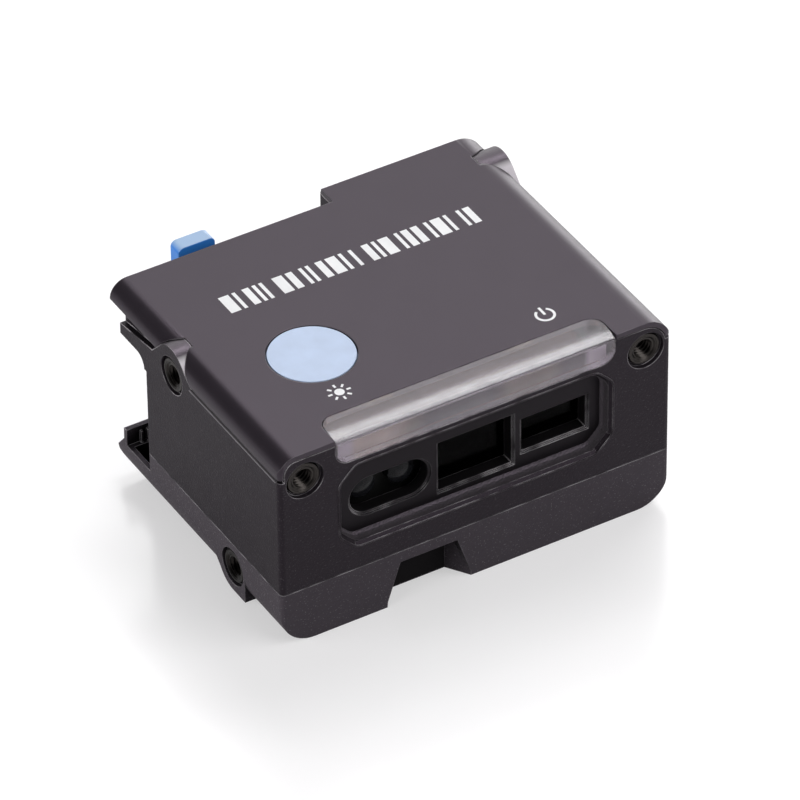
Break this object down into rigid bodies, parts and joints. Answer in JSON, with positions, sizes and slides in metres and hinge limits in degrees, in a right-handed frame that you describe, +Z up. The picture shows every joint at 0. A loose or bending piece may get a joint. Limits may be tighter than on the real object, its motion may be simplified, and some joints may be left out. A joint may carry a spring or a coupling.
{
  "type": "fixed barcode reader",
  "caption": "Compact box-shaped fixed code reader with a front imaging window, status light pipe, push button on the lid, threaded mounting inserts and a rear cable bay with a sprung latch.",
  "frame": {"origin": "middle of the body's box on the plane of its flat underside", "axes": "+Z up to the lid, -Y out of the front window, +X to the right when facing the window"},
  "size_m": [0.048, 0.039, 0.025],
  "materials": {
    "housing_plastic": "fine-textured charcoal",
    "lid_plastic": "smooth satin charcoal",
    "base_plastic": "fine-textured charcoal",
    "gasket_rubber": "matte",
    "light_pipe_clear": "smoky translucent",
    "mask_gloss": "satin black",
    "window_glass": "clear",
    "button_blue": "satin pale blue",
    "switch_plastic": "plain",
    "switch_metal": "plain",
    "circuit_board": "solder mask",
    "flex_film": "polyimide film",
    "led_package": "phosphor",
    "chip_package": "moulded",
    "sensor_die": "glass-covered die",
    "optics_black": "flat black",
    "lens_glass": "clear",
    "connector_black": "plain",
    "contact_gold": "gold plated",
    "latch_blue": "satin blue",
    "pin_steel": "ground",
    "insert_brass": "blackened, threaded",
    "screw_steel": "blackened"
  },
  "bodies": {
    "reader": {"main_housing": "housing_plastic", "top_cover": "lid_plastic", "bottom_cover": "base_plastic", "base_gasket": "gasket_rubber", "light_pipe": "light_pipe_clear", "aperture_mask": "mask_gloss", "window_pane": "window_glass", "tact_switch": "switch_metal", "key_board": "circuit_board", "led_flex": "flex_film", "status_leds": "led_package", "main_board": "circuit_board", "board_chips": "chip_package", "board_header": "chip_package", "imager_board": "circuit_board", "image_sensor": "sensor_die", "optics_block": "optics_black", "lens_barrel": "optics_black", "camera_lenses": "lens_glass", "aimer_lenses": "lens_glass", "aimer_leds": "led_package", "lamp_lens": "lens_glass", "lamp_leds": "led_package", "interface_connector": "connector_black", "connector_contacts": "contact_gold", "latch_pin": "pin_steel", "latch_spring": "pin_steel", "front_inserts": "insert_brass", "upper_side_inserts": "insert_brass", "lower_side_inserts": "insert_brass", "base_screws": "screw_steel"},
    "button": {"push_button": "button_blue", "switch_plunger": "switch_plastic"},
    "latch": {"latch_lever": "latch_blue"}
  },
  "joints": [
    {"name": "button_press", "type": "slide", "parent": "reader", "child": "button", "axis": [0, 0, -1], "range_m": [0, 0.00035], "stiffness_N_per_m": 4000},
    {"name": "latch_swing", "type": "hinge", "parent": "reader", "child": "latch", "pos_m": [-0.0126, 0.01825, 0.0034], "axis": [-1, 0, 0], "range_deg": [0, 14], "stiffness_Nm_per_rad": 0.05, "springref_deg": -5.73, "deforming": ["latch_spring"]}
  ]
}
